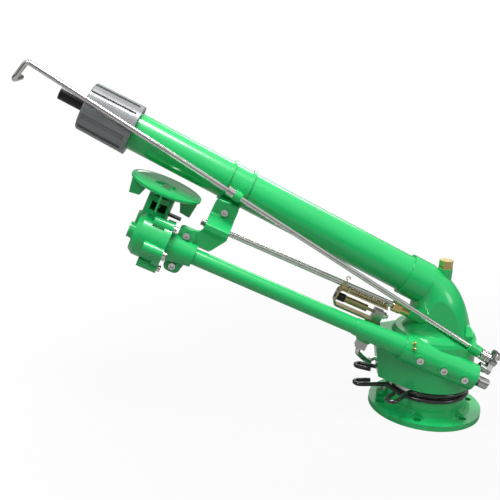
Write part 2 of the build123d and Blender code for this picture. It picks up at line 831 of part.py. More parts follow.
def worm_wheel():
    outline = gear_outline(
        wheel_teeth, wheel_pitch_r - input_dedendum, wheel_pitch_r + input_addendum,
        wheel_pitch_r, input_tooth_t, gap_at=0.0,
    )
    twist = math.degrees(wheel_w * math.tan(input_lead_angle) / wheel_pitch_r)
    blank = Solid.extrude_linear_with_rotation(outline, (0, 0, 0), (0, 0, wheel_w), twist)
    body = Location(Plane.YZ.offset(-impeller_x - wheel_w / 2)) * Rot(0, 0, -twist / 2) * blank
    body += ring_x(11, shaft_r, -impeller_x + wheel_w / 2 - 0.01, -gearbox_joint_x)
    return drive_frame * (body - rod_x(shaft_r, -shaft_front, -gearbox_joint_x + 5))


def input_worm():
    twist = 360 * input_worm_len / input_lead
    outline = worm_outline(
        input_starts, input_worm_r - input_dedendum, input_worm_r + input_addendum, input_worm_r,
        input_tooth_t / math.cos(input_lead_angle), input_lead, input_lead_angle, -90 - twist / 2,
    )
    thread = Solid.extrude_linear_with_rotation(outline, (0, 0, 0), (0, 0, input_worm_len), twist)
    thread -= Pos(0, 0, input_worm_len / 2) * Cylinder(impeller_shaft_r, input_worm_len + 2)
    body = Pos(0, 0, -input_worm_len / 2) * thread
    return drive_frame * Pos(-impeller_x, impeller_y, 0) * body


def impeller_shaft():
    return drive_frame * rod_z(impeller_shaft_r, -tower_bottom + 3.3, impeller_z + 1, -impeller_x, impeller_y)


def impeller_bushes():
    bushes = []
    for z0, z1 in ((-tower_bottom + 3, -input_worm_len / 2 - 1.2), (input_worm_len / 2 + 1.2, 30),
                   (tower_top - 7, tower_top)):
        bush = ring_z(impeller_bush_r, impeller_shaft_r + run_gap, z0, z1)
        bushes.append(drive_frame * Pos(-impeller_x, impeller_y, 0) * bush)
    return bushes


def impeller():
    body = revolve_z([
        (impeller_shaft_r, tower_top + seat_gap), (11, tower_top + seat_gap), (13, impeller_z - 3),
        (impeller_r - 3, impeller_z), (impeller_r, impeller_z + 2), (impeller_r, impeller_z + impeller_t),
        (impeller_r - 3, impeller_z + impeller_t), (impeller_r - 6, impeller_z + impeller_t - 1),
        (impeller_recess_r, impeller_z + impeller_t - 1), (impeller_recess_r - 2, impeller_z + 1),
        (impeller_shaft_r, impeller_z + 1),
    ])
    low = impeller_z - vane_drop
    for i in range(vane_count):
        outline = make_face(Polyline(
            (vane_in, impeller_z), (vane_in + 1, impeller_z - 12), (vane_in + 6, low + 2),
            (vane_out - 3, low), (vane_out + 1, impeller_z + 1), close=True))
        vane = extrude(Plane.XZ * outline, vane_t / 2, both=True)
        body += Rot(0, 0, i * 360 / vane_count) * vane
    return drive_frame * Pos(-impeller_x, impeller_y, 0) * body


def impeller_screw():
    head = rod_z(6.0, impeller_z + 1, impeller_z + 4)
    head -= block(-7, 7, -0.8, 0.8, impeller_z + 2.8, impeller_z + 5)
    return drive_frame * Pos(-impeller_x, impeller_y, 0) * head


def plate_y(corners, bend, y0, y1):
    # a flat plate across Y with rounded corners, given by its (x, z) corners
    outline = make_face(FilletPolyline(*corners, radius=bend, close=True))
    return Pos(0, y1, 0) * extrude(Plane.XZ * outline, y1 - y0)


def yoke_bracket():
    # a cranked cast arm: pad beside the lug under the barrel, bowed out past the water
    # tube, then a foot behind the ears with a saddle round the far side of the sleeve
    pad = yoke_pad_y
    near = pad - pad_t
    foot = ear_face + ear_t
    back = foot + yoke_t
    crest = foot - yoke_crest
    low = ear_places[1][1] - ear_tip
    top = 90
    side = FilletPolyline(
        (pad, top), (near, top), (near, 67), (crest, 54), (crest, 46), (foot, 38), (foot, low),
        (back, low), (back, 52), (pad, 62), radius=3.0, close=True)
    body = Pos(-ear_x - ear_half, 0, 0) * extrude(Plane.YZ * make_face(side), 75)
    foot_rear = -390
    foot_front = -ear_x - ear_half - 2
    body &= plate_y((
        (-yoke_front, top), (-yoke_rear, top), (-yoke_rear, 40), (foot_rear, 14), (foot_rear, -10),
        (-416, -18), (-421, low), (foot_front, low), (foot_front, 36), (-yoke_front - 2, 36)),
        8.0, -20, pad)
    saddle = cone_x(sleeve_front_r + 5, sleeve_rear_r + 5, -ear_x - ear_half, -sleeve_rear_x)
    body += saddle & block(-ear_x - ear_half, -sleeve_rear_x, foot, 50, -14, 40)
    body -= cone_x(sleeve_front_r, sleeve_rear_r, -gearbox_rear_x, -sleeve_rear_x)
    body -= rod_x(sleeve_rear_r, -sleeve_rear_x - 1, -yoke_rear + 5)
    body -= rod_y(screw_r, pad - pad_t - 1, pad + 1, -yoke_middle, yoke_screw_z)
    for x, reach in ear_places:
        body -= rod_y(screw_r, foot - 1, back + 1, x, reach)
    return drive_frame * body


def yoke_screws():
    pad = yoke_pad_y
    screws = [drive_frame * socket_screw_y(-yoke_middle, pad - pad_t, yoke_screw_z, pad_t + 10)]
    for x, reach in ear_places:
        screws.append(drive_frame * socket_screw_y(x, ear_face, reach, ear_t + yoke_t))
    return screws


def drive_water_tube():
    # a steel tube whose rear end is a ball that swivels in its fitting
    front = -water_tube_front + 18
    neck = on_ball(water_ball_r, water_tube_r, -1)
    rear = on_ball(water_ball_r, water_tube_bore, 1)
    return turned_on_water_line([
        Edge.make_line((front, water_tube_bore), (front, water_tube_r)),
        Edge.make_line((front, water_tube_r), neck),
        Edge.make_three_point_arc(neck, (-water_pivot_x, water_ball_r), rear),
        Edge.make_line(rear, (front, water_tube_bore)),
    ])


def on_ball(ball, height, side):
    # the point of the ball's outline at this height over its axis, on one side of its centre
    return (-water_pivot_x + side * math.sqrt(ball ** 2 - height ** 2), height)


def turned_on_water_line(edges):
    turned = revolve(Plane.XY * Face(Wire(edges)), Axis.X)
    return drive_frame * Pos(0, impeller_y, water_tube_z) * turned


def drive_nozzle():
    x0 = -water_tube_front
    body = rod_x(water_tube_r + 1.6, x0 + 6, x0 + 26, impeller_y, water_tube_z)
    body += rod_x(water_tube_r + 0.4, x0, x0 + 6, impeller_y, water_tube_z)
    body -= rod_x(water_tube_r, x0 + 18, x0 + 27, impeller_y, water_tube_z)
    body -= rod_x(2.6, x0 - 1, x0 + 19, impeller_y, water_tube_z)
    return drive_frame * body


def compression_nut():
    # the tube swings inside the nut, so the hole opens towards the front
    body = hex_x(17, -fitting_front, -fitting_split, impeller_y, water_tube_z)
    mouth = cone_x(water_tube_r + 1.6, water_tube_r + 0.5, -fitting_front - 1, -fitting_split - 2)
    body -= Pos(0, impeller_y, water_tube_z) * mouth
    body -= Pos(-water_pivot_x, impeller_y, water_tube_z) * Sphere(water_ball_r + run_gap)
    return drive_frame * body


def fitting_body():
    # a stepped collar screwed into the casting, with a round seat for the tube's ball
    seat_r = water_ball_r + run_gap
    stem_end = -fitting_rear + 7
    rear = on_ball(seat_r, water_tube_bore, 1)
    middle = on_ball(seat_r, seat_r * math.sin(math.radians(60)), 1)
    widest = (-water_pivot_x, seat_r)
    corners = [
        widest, (-fitting_split, seat_r), (-fitting_split, fitting_r), (-fitting_rear, fitting_r),
        (-fitting_rear, fitting_stem_r), (stem_end, fitting_stem_r), (stem_end, water_tube_bore), rear,
    ]
    edges = [Edge.make_line(a, b) for a, b in zip(corners, corners[1:])]
    return turned_on_water_line(edges + [Edge.make_three_point_arc(rear, middle, widest)])


def toggle_frame():
    # one strip bent to a long U that lies on its side, closed at the front
    y0 = impeller_y - toggle_w / 2
    y1 = impeller_y + toggle_w / 2
    outer = block(-toggle_front, -toggle_rear, y0, y1, toggle_low, toggle_high)
    outer = fillet(outer.edges().filter_by(Axis.Y).group_by(Axis.X)[0], 8.0)
    inner = block(-toggle_front + toggle_strip_t, -toggle_rear + 1, y0 - 1, y1 + 1,
                  toggle_low + toggle_strip_t, toggle_high - toggle_strip_t)
    inner = fillet(inner.edges().filter_by(Axis.Y).group_by(Axis.X)[0], 5.5)
    body = outer - inner
    body -= rod_z(trip_shaft_r, toggle_low - 1, toggle_low + 4, -toggle_pivot_x, impeller_y)
    body -= rod_x(plunger_r - 1.5, -toggle_front - 1, -toggle_front + 4, impeller_y, plunger_z)
    # two fingers on the top strip carry the water tube with them
    for side in (-1, 1):
        near = impeller_y + side * (water_tube_r + tube_finger_gap)
        far = near + side * 2.0
        body += block(-hook_x - 4, -hook_x + 4, near, far, toggle_high - 1, water_tube_z + 3)
    # two short tabs hold the ends of the spring
    for x in (-hook_x + 9, -toggle_rear - 3):
        body += block(x - 1.5, x + 1.5, y0, y0 + 3, toggle_high - 1, spring_z + 3)
    return drive_frame * body


plunger_r = 5.5
plunger_z = 24.0
hook_x = 178.0
tube_finger_gap = 0.4
spring_z = 43.0
over_spring_r = 2.6


def plunger():
    body = rod_x(plunger_r, -toggle_front + 16, -toggle_pivot_x - 18, impeller_y, plunger_z)
    body += rod_x(2.5, -toggle_pivot_x - 18.5, -toggle_pivot_x - 6, impeller_y, plunger_z)
    return drive_frame * body


def plunger_cap():
    x0 = -toggle_front + toggle_strip_t
    body = rod_x(plunger_r + 0.9, x0, -toggle_front + 16, impeller_y, plunger_z)
    body += rod_x(plunger_r - 1.5, -toggle_front - 1, x0 + 0.5, impeller_y, plunger_z)
    return drive_frame * body


def pivot_block():
    y0 = impeller_y - 8
    y1 = impeller_y + 8
    low = toggle_low + toggle_strip_t
    body = block(-toggle_pivot_x - 6, -toggle_rear - 1, y0, y1, low, low + 18)
    hole = rod_z(trip_shaft_r, 0, low + 14, -toggle_pivot_x, impeller_y)
    return drive_frame * (body - hole)


def toggle_bolt():
    x0 = -toggle_rear - 1
    body = hex_x(10, x0, x0 + 5, impeller_y, plunger_z)
    body += rod_x(3, x0 + 4.5, x0 + 9, impeller_y, plunger_z)
    return drive_frame * body


def over_centre_spring():
    x0 = -hook_x + 10.5
    x1 = -toggle_rear - 4.5
    y = impeller_y - toggle_w / 2 - 0.2
    length = x1 - x0 - 1.4
    path = Helix(length / 14, length, over_spring_r)
    coil = sweep(Plane(origin=path @ 0, z_dir=path % 0) * Circle(0.6), path=path)
    return drive_frame * Pos(x0 + 0.7, y, spring_z) * Rot(0, 90, 0) * coil


def trip_shaft():
    top = toggle_low + toggle_strip_t + 14
    return drive_frame * rod_z(trip_shaft_r, clevis_low + 6, top, -toggle_pivot_x, impeller_y)


def trip_clevis():
    high = toggle_boss_low - seat_gap
    y0 = impeller_y - 9
    body = block(-toggle_pivot_x - 8, -toggle_pivot_x + 8, y0, y0 + 17, clevis_low, high)
    body -= rod_z(trip_shaft_r, clevis_low + 6, high + 1, -toggle_pivot_x, impeller_y)
    body -= rod_z(trip_rod_r, clevis_low - 1, clevis_low + 6, -toggle_pivot_x, impeller_y)
    return drive_frame * body


trip_rod_r = 4.0
trip_bend_r = 8.0
# Where the trip rod bends on its way round the head to the stop rings
trip_points = (
    (-109.0, -14.0, 81.0),
    (-95.0, 8.0, 65.0),
    (-93.0, 30.0, 58.5),
    (-60.0, 68.0, 58.5),
    (-10.0, 92.0, 58.5),
    (-10.0, 92.0, 36.0),
)


def trip_rod():
    points = []
    for z in (clevis_low + 6, clevis_low - 9):
        place = (drive_frame * Pos(-toggle_pivot_x, impeller_y, z)).position
        points.append(tuple(place))
    return bent_rod(trip_rod_r, points + list(trip_points), trip_bend_r)


def breaker_rod():
    # straight spindle, an arm down to the jet line and a finger across the jet
    x1 = -breaker_front
    points = ((breaker_rear, 0, 0), (x1, 0, 0), (x1 - 4, 0, -hook_drop), (x1 - 5, -breaker_y, -hook_drop - 1))
    return breaker_frame * bent_rod(breaker_r, points, 6.5)


def breaker_collar():
    body = ring_x(7.0, breaker_r, -guide_front - seat_gap - 12, -guide_front - seat_gap)
    body -= rod_y(2.0, -8, -3, -guide_front - 6)
    return breaker_frame * body


def torsion_spring():
    x0 = rear_lug_rear + 1.6
    length = crank_front - rear_lug_rear - 3.2
    path = Helix(length / spring_turns, length, spring_r)
    section = Plane(origin=path @ 0, z_dir=path % 0) * Circle(spring_wire_r)
    coil = sweep(section, path=path)
    return breaker_frame * Pos(x0, 0, 0) * Rot(0, 90, 0) * coil


def crank_arm():
    # clamp hub on the rod, with an arm that carries the roller beside the cam
    hub = rod_x(hub_r_out, crank_front, crank_rear)
    arm = block(crank_front + 1, crank_rear - 1, -5, 5, 0, crank_reach)
    arm += rod_x(5.0, crank_front + 1, crank_rear - 1, 0, crank_reach)
    body = hub + Rot(crank_turn, 0, 0) * arm
    ears = block(crank_front, crank_rear, -7, 7, 4, 15)
    body += ears
    body -= block(crank_front - 1, crank_rear + 1, -1, 1, 0, 20)
    body -= rod_x(breaker_r, crank_front - 1, crank_rear + 1)
    body -= rod_y(2.5, -16, 16, clamp_x, clamp_z)
    body -= block(crank_front - 1, crank_rear + 1, 7, 16, 4, 20)
    body -= Rot(crank_turn, 0, 0) * rod_x(roller_pin_r, crank_front - 1, crank_rear + 1, 0, crank_reach)
    return breaker_frame * body


clamp_x = (crank_front + crank_rear) / 2
clamp_z = 10.5
roller_pin_r = 2.5


def clamp_bolt():
    body = rod_y(4.6, -7 - screw_head_t, -7, clamp_x, clamp_z)
    body -= rod_y(2.2, -7 - screw_head_t - 1, -7 - screw_head_t + 2.6, clamp_x, clamp_z)
    body += rod_y(2.5, -7.5, 12, clamp_x, clamp_z)
    nut = Rot(-90, 0, 0) * extrude(RegularPolygon(4.6, 6, major_radius=False), 4)
    body += Pos(clamp_x, 7, clamp_z) * nut
    return breaker_frame * body


def breaker_roller():
    roller = ring_x(roller_r, roller_pin_r, roller_front, crank_front + 1 - seat_gap, 0, crank_reach)
    roller += rod_x(roller_pin_r, roller_front + 1, crank_rear - 1, 0, crank_reach)
    return breaker_frame * Rot(crank_turn, 0, 0) * roller


def breaker_cam():
    body = rod_x(6.5, worm_housing_rear + 1.5, cam_front, 0, 0)
    body += rod_x(cam_r, cam_front - 0.01, cam_rear, 0, -cam_offset)
    body -= rod_x(shaft_r - 1, worm_housing_rear, shaft_rear + 1)
    return drive_frame * body


# Every piece, in the order it would be put together from the base up
pieces = {
    "base_flange": base_flange,
    "hub_pin": hub_pin,
    "bearing_inner_race": lambda: bearing_race(bearing_bore_r, bearing_bore_r + race_t),
    "bearing_balls": bearing_balls,
    "bearing_outer_race": lambda: bearing_race(bearing_outer_r - race_t, bearing_outer_r),
    "ring_gear": ring_gear,
    "ring_gear_key": lambda: ring_gear_key_block(0.02),
    "gear_circlip": external_circlip,
    "bearing_circlip": bearing_circlip,
    "dust_seal": dust_seal,
    "upper_stop_ring": lambda: stop_ring(upper_ring_z, upper_ring_ends),
    "lower_stop_ring": lambda: stop_ring(lower_ring_z, lower_ring_ends),
    "upper_bush": upper_bush,
    "water_seal": water_seal,
    "body_casting": body_casting,
    "pressure_plug": pressure_plug,
    "barrel": barrel,
    "flow_straightener": flow_straightener,
    "nozzle_cap": nozzle_cap,
    "nozzle_insert": nozzle_insert,
    "nozzle_seal": nozzle_seal,
    "shaft_tube": shaft_tube,
    "drive_shaft": drive_shaft,
    "output_worm": output_worm,
    "worm_bushes": worm_bushes,
    "housing_screws": housing_screws,
    "grease_nipples": grease_nipples,
    "gearbox_front": gearbox_front,
    "gearbox_rear": gearbox_rear,
    "gearbox_screws": gearbox_screws,
    "keeper_plate": keeper_plate,
    "gearbox_shaft_bush": gearbox_shaft_bush,
    "worm_wheel": worm_wheel,
    "input_worm": input_worm,
    "impeller_shaft": impeller_shaft,
    "impeller_bushes": impeller_bushes,
    "impeller": impeller,
    "impeller_screw": impeller_screw,
    "yoke_bracket": yoke_bracket,
    "yoke_screws": yoke_screws,
    "drive_water_tube": drive_water_tube,
    "drive_nozzle": drive_nozzle,
    "compression_nut": compression_nut,
    "fitting_body": fitting_body,
    "toggle_frame": toggle_frame,
    "plunger": plunger,
    "plunger_cap": plunger_cap,
    "pivot_block": pivot_block,
    "toggle_bolt": toggle_bolt,
    "over_centre_spring": over_centre_spring,
    "trip_shaft": trip_shaft,
    "trip_clevis": trip_clevis,
    "trip_rod": trip_rod,
    "breaker_rod": breaker_rod,
    "breaker_collar": breaker_collar,
    "torsion_spring": torsion_spring,
    "crank_arm": crank_arm,
    "clamp_bolt": clamp_bolt,
    "breaker_roller": breaker_roller,
    "breaker_cam": breaker_cam,
}

os.makedirs("parts", exist_ok=True)
for name, make in pieces.items():
    shape = make()
    if isinstance(shape, list):
        shape = Compound(children=shape)
    export_step(shape, f"parts/{name}.step")
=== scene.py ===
import bpy
import math
from mathutils import Matrix, Vector


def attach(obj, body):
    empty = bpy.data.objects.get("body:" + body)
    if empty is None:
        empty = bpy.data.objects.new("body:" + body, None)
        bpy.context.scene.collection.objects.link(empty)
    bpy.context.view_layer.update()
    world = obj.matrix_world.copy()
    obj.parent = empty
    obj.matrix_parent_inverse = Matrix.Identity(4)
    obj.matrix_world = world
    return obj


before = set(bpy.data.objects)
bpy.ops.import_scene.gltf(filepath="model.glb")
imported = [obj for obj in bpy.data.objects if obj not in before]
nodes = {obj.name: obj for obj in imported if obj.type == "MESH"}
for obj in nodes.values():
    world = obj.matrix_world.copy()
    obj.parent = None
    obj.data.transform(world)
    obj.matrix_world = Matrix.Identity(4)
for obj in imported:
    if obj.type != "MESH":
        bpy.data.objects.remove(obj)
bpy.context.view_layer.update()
print("stage: frame loaded,", len(nodes), "nodes")


# Camera, solved from the photograph's straight edges and ellipses
view = {
    "place": (-0.28956, -1.24981, 0.60704),
    "azimuth": 0.521,
    "elevation": 16.313,
    "roll": 4.130,
    "lens": 60.18,
}


def makeCamera(v):
    az = math.radians(v["azimuth"])
    el = math.radians(v["elevation"])
    roll = math.radians(v["roll"])
    back = Vector((math.sin(az) * math.cos(el), -math.cos(az) * math.cos(el), math.sin(el)))
    side = Vector((math.cos(az), math.sin(az), 0))
    top = back.cross(side)
    right = side * math.cos(roll) + top * math.sin(roll)
    up = top * math.cos(roll) - side * math.sin(roll)
    data = bpy.data.cameras.new("photoCamera")
    data.lens = v["lens"]
    data.sensor_width = 36
    data.clip_end = 50
    cam = bpy.data.objects.new("photoCamera", data)
    bpy.context.scene.collection.objects.link(cam)
    turn = Matrix((right, up, back)).transposed().to_4x4()
    cam.matrix_world = Matrix.Translation(v["place"]) @ turn
    bpy.context.scene.camera = cam


makeCamera(view)
bpy.context.scene.view_settings.view_transform = "Standard"


# Node groups that several finishes share

def newGroup(name, inputs, outputs):
    group = bpy.data.node_groups.new(name, "ShaderNodeTree")
    for label, kind, value in inputs:
        socket = group.interface.new_socket(label, in_out="INPUT", socket_type=kind)
        socket.default_value = value
    for label, kind in outputs:
        group.interface.new_socket(label, in_out="OUTPUT", socket_type=kind)
    start = group.nodes.new("NodeGroupInput")
    end = group.nodes.new("NodeGroupOutput")
    return group, start, end


def mathNode(tree, operation, a, b, clamp=False):
    node = tree.nodes.new("ShaderNodeMath")
    node.operation = operation
    node.use_clamp = clamp
    for i, value in enumerate((a, b)):
        if isinstance(value, (int, float)):
            node.inputs[i].default_value = value
        else:
            tree.links.new(value, node.inputs[i])
    return node.outputs[0]


def noiseNode(tree, vector, scale, detail=2.0, rough=0.5):
    node = tree.nodes.new("ShaderNodeTexNoise")
    tree.links.new(vector, node.inputs["Vector"])
    if isinstance(scale, (int, float)):
        node.inputs["Scale"].default_value = scale
    else:
        tree.links.new(scale, node.inputs["Scale"])
    node.inputs["Detail"].default_value = detail
    node.inputs["Roughness"].default_value = rough
    return node.outputs["Fac"]


def mixColour(tree, factor, a, b, blend="MIX"):
    node = tree.nodes.new("ShaderNodeMix")
    node.data_type = "RGBA"
    node.blend_type = blend
    if isinstance(factor, (int, float)):
        node.inputs[0].default_value = factor
    else:
        tree.links.new(factor, node.inputs[0])
    for index, value in ((6, a), (7, b)):
        if isinstance(value, tuple):
            node.inputs[index].default_value = value
        else:
            tree.links.new(value, node.inputs[index])
    return node.outputs[2]


def makeMottle():
    # slow changes of tone and the fine grain of the skin
    group, start, end = newGroup("toneAndGrain", [
        ("Tone", "NodeSocketColor", (0.5, 0.5, 0.5, 1)),
        ("Second Tone", "NodeSocketColor", (0.4, 0.4, 0.4, 1)),
        ("Patch Scale", "NodeSocketFloat", 12.0),
        ("Patch Amount", "NodeSocketFloat", 0.4),
        ("Grain Scale", "NodeSocketFloat", 900.0),
        ("Roughness", "NodeSocketFloat", 0.3),
        ("Roughness Spread", "NodeSocketFloat", 0.1),
    ], [("Color", "NodeSocketColor"), ("Roughness", "NodeSocketFloat"), ("Height", "NodeSocketFloat")])
    place = group.nodes.new("ShaderNodeTexCoord").outputs["Object"]
    patch = noiseNode(group, place, start.outputs["Patch Scale"], 3.0, 0.55)
    patch = mathNode(group, "MULTIPLY", mathNode(group, "SUBTRACT", patch, 0.42, True), 4.0, True)
    amount = mathNode(group, "MULTIPLY", patch, start.outputs["Patch Amount"], True)
    tone = mixColour(group, amount, start.outputs["Tone"], start.outputs["Second Tone"])
    group.links.new(tone, end.inputs["Color"])
    grain = noiseNode(group, place, start.outputs["Grain Scale"], 2.0, 0.5)
    spread = mathNode(group, "SUBTRACT", patch, 0.5)
    spread = mathNode(group, "MULTIPLY", spread, start.outputs["Roughness Spread"])
    rough = mathNode(group, "ADD", start.outputs["Roughness"], spread, True)
    group.links.new(rough, end.inputs["Roughness"])
    group.links.new(grain, end.inputs["Height"])
    return group


def makeDrawnLines():
    # fine lines along one axis, as drawn wire and turned steel have
    group, start, end = newGroup("drawnLines", [
        ("Stretch", "NodeSocketVector", (1.0, 1.0, 1.0)),
        ("Tone", "NodeSocketColor", (0.6, 0.6, 0.6, 1)),
        ("Dark Tone", "NodeSocketColor", (0.3, 0.3, 0.3, 1)),
        ("Roughness", "NodeSocketFloat", 0.2),
    ], [("Color", "NodeSocketColor"), ("Roughness", "NodeSocketFloat"), ("Height", "NodeSocketFloat")])
    place = group.nodes.new("ShaderNodeTexCoord").outputs["Object"]
    scale = group.nodes.new("ShaderNodeVectorMath")
    scale.operation = "MULTIPLY"
    group.links.new(place, scale.inputs[0])
    group.links.new(start.outputs["Stretch"], scale.inputs[1])
    lines = noiseNode(group, scale.outputs[0], 1.0, 4.0, 0.6)
    stain = noiseNode(group, place, 30.0, 3.0, 0.6)
    stain = mathNode(group, "MULTIPLY", mathNode(group, "SUBTRACT", stain, 0.55, True), 3.0, True)
    half = mathNode(group, "MULTIPLY", lines, 0.5)
    tone = mixColour(group, half, start.outputs["Tone"], start.outputs["Dark Tone"])
    tone = mixColour(group, stain, tone, start.outputs["Dark Tone"])
    group.links.new(tone, end.inputs["Color"])
    spread = mathNode(group, "MULTIPLY", mathNode(group, "SUBTRACT", lines, 0.5), 0.16)
    group.links.new(mathNode(group, "ADD", start.outputs["Roughness"], spread, True), end.inputs["Roughness"])
    group.links.new(lines, end.inputs["Height"])
    return group


toneAndGrain = makeMottle()
drawnLines = makeDrawnLines()
skinDepth = 0.0002
lineDepth = 0.0001


def newMaterial(name):
    material = bpy.data.materials.new(name)
    material.use_nodes = True
    return material, material.node_tree, material.node_tree.nodes["Principled BSDF"]


def addBump(tree, shader, height, strength, distance):
    bump = tree.nodes.new("ShaderNodeBump")
    bump.inputs["Strength"].default_value = strength
    bump.inputs["Distance"].default_value = distance
    tree.links.new(height, bump.inputs["Height"])
    tree.links.new(bump.outputs["Normal"], shader.inputs["Normal"])


def addSkin(tree, s):
    skin = tree.nodes.new("ShaderNodeGroup")
    skin.node_tree = toneAndGrain
    skin.inputs["Tone"].default_value = s["tone"] + (1,)
    skin.inputs["Second Tone"].default_value = s["second"] + (1,)
    skin.inputs["Patch Scale"].default_value = s.get("patchScale", 12.0)
    skin.inputs["Patch Amount"].default_value = s.get("patch", 0.4)
    skin.inputs["Grain Scale"].default_value = s.get("grain", 900.0)
    skin.inputs["Roughness"].default_value = s["rough"]
    skin.inputs["Roughness Spread"].default_value = s.get("spread", 0.08)
    return skin


def addLines(tree, s):
    lines = tree.nodes.new("ShaderNodeGroup")
    lines.node_tree = drawnLines
    lines.inputs["Tone"].default_value = s["tone"] + (1,)
    lines.inputs["Dark Tone"].default_value = s["dark"] + (1,)
    lines.inputs["Stretch"].default_value = s.get("stretch", (900, 900, 900))
    lines.inputs["Roughness"].default_value = s["rough"]
    return lines


def skinMaterial(name, s):
    material, tree, shader = newMaterial(name)
    skin = addSkin(tree, s)
    tree.links.new(skin.outputs["Color"], shader.inputs["Base Color"])
    tree.links.new(skin.outputs["Roughness"], shader.inputs["Roughness"])
    addBump(tree, shader, skin.outputs["Height"], s.get("bump", 0.1), skinDepth)
    shader.inputs["Coat Weight"].default_value = s.get("coat", 0.0)
    shader.inputs["Coat Roughness"].default_value = s.get("coatRough", 0.08)
    shader.inputs["Specular IOR Level"].default_value = s.get("specular", 0.5)
    return material


def metalMaterial(name, s):
    material, tree, shader = newMaterial(name)
    lines = addLines(tree, s)
    tree.links.new(lines.outputs["Color"], shader.inputs["Base Color"])
    tree.links.new(lines.outputs["Roughness"], shader.inputs["Roughness"])
    addBump(tree, shader, lines.outputs["Height"], s.get("bump", 0.06), lineDepth)
    shader.inputs["Metallic"].default_value = 1.0
    return material


def makeBandMask():
    # one on a turned band round the upright axis, zero elsewhere
    group, start, end = newGroup("bandMask", [
        ("Bottom", "NodeSocketFloat", 0.0),
        ("Top", "NodeSocketFloat", 0.1),
        ("Radius", "NodeSocketFloat", 0.1),
    ], [("Mask", "NodeSocketFloat")])
    place = group.nodes.new("ShaderNodeTexCoord").outputs["Object"]
    split = group.nodes.new("ShaderNodeSeparateXYZ")
    group.links.new(place, split.inputs[0])
    flat = group.nodes.new("ShaderNodeCombineXYZ")
    group.links.new(split.outputs["X"], flat.inputs["X"])
    group.links.new(split.outputs["Y"], flat.inputs["Y"])
    length = group.nodes.new("ShaderNodeVectorMath")
    length.operation = "LENGTH"
    group.links.new(flat.outputs[0], length.inputs[0])
    above = mathNode(group, "GREATER_THAN", split.outputs["Z"], start.outputs["Bottom"])
    below = mathNode(group, "LESS_THAN", split.outputs["Z"], start.outputs["Top"])
    within = mathNode(group, "LESS_THAN", length.outputs["Value"], start.outputs["Radius"])
    mask = mathNode(group, "MULTIPLY", mathNode(group, "MULTIPLY", above, below), within)
    group.links.new(mask, end.inputs["Mask"])
    return group


def flangeMaterial(name, paint, band):
    # green enamel, left off where the neck is turned for the stop rings
    material, tree, shader = newMaterial(name)
    skin = addSkin(tree, paint)
    lines = addLines(tree, band)
    mask = tree.nodes.new("ShaderNodeGroup")
    mask.node_tree = makeBandMask()
    mask.inputs["Bottom"].default_value = band["bottom"]
    mask.inputs["Top"].default_value = band["top"]
    mask.inputs["Radius"].default_value = band["radius"]
    bare = mask.outputs["Mask"]
    tree.links.new(mixColour(tree, bare, skin.outputs["Color"], lines.outputs["Color"]),
                   shader.inputs["Base Color"])
    rough = tree.nodes.new("ShaderNodeMapRange")
    tree.links.new(bare, rough.inputs["Value"])
    tree.links.new(skin.outputs["Roughness"], rough.inputs["To Min"])
    tree.links.new(lines.outputs["Roughness"], rough.inputs["To Max"])
    tree.links.new(rough.outputs[0], shader.inputs["Roughness"])
    tree.links.new(bare, shader.inputs["Metallic"])
    coat = tree.nodes.new("ShaderNodeMapRange")
    tree.links.new(bare, coat.inputs["Value"])
    coat.inputs["To Min"].default_value = paint["coat"]
    coat.inputs["To Max"].default_value = 0.0
    tree.links.new(coat.outputs[0], shader.inputs["Coat Weight"])
    shader.inputs["Coat Roughness"].default_value = paint["coatRough"]
    shader.inputs["Specular IOR Level"].default_value = paint["specular"]
    addBump(tree, shader, skin.outputs["Height"], paint["bump"], skinDepth)
    return material


greenPaint = {
    "tone": (0.007, 0.4, 0.1), "second": (0.005, 0.32, 0.078), "patchScale": 9.0, "patch": 0.3,
    "grain": 420.0, "rough": 0.34, "specular": 0.35, "coat": 0.5, "coatRough": 0.06, "bump": 0.05}
turnedBand = {
    "tone": (0.72, 0.71, 0.69), "dark": (0.45, 0.44, 0.42), "rough": 0.22, "stretch": (60, 60, 2500),
    "bottom": 0.0337, "top": 0.051, "radius": 0.061}

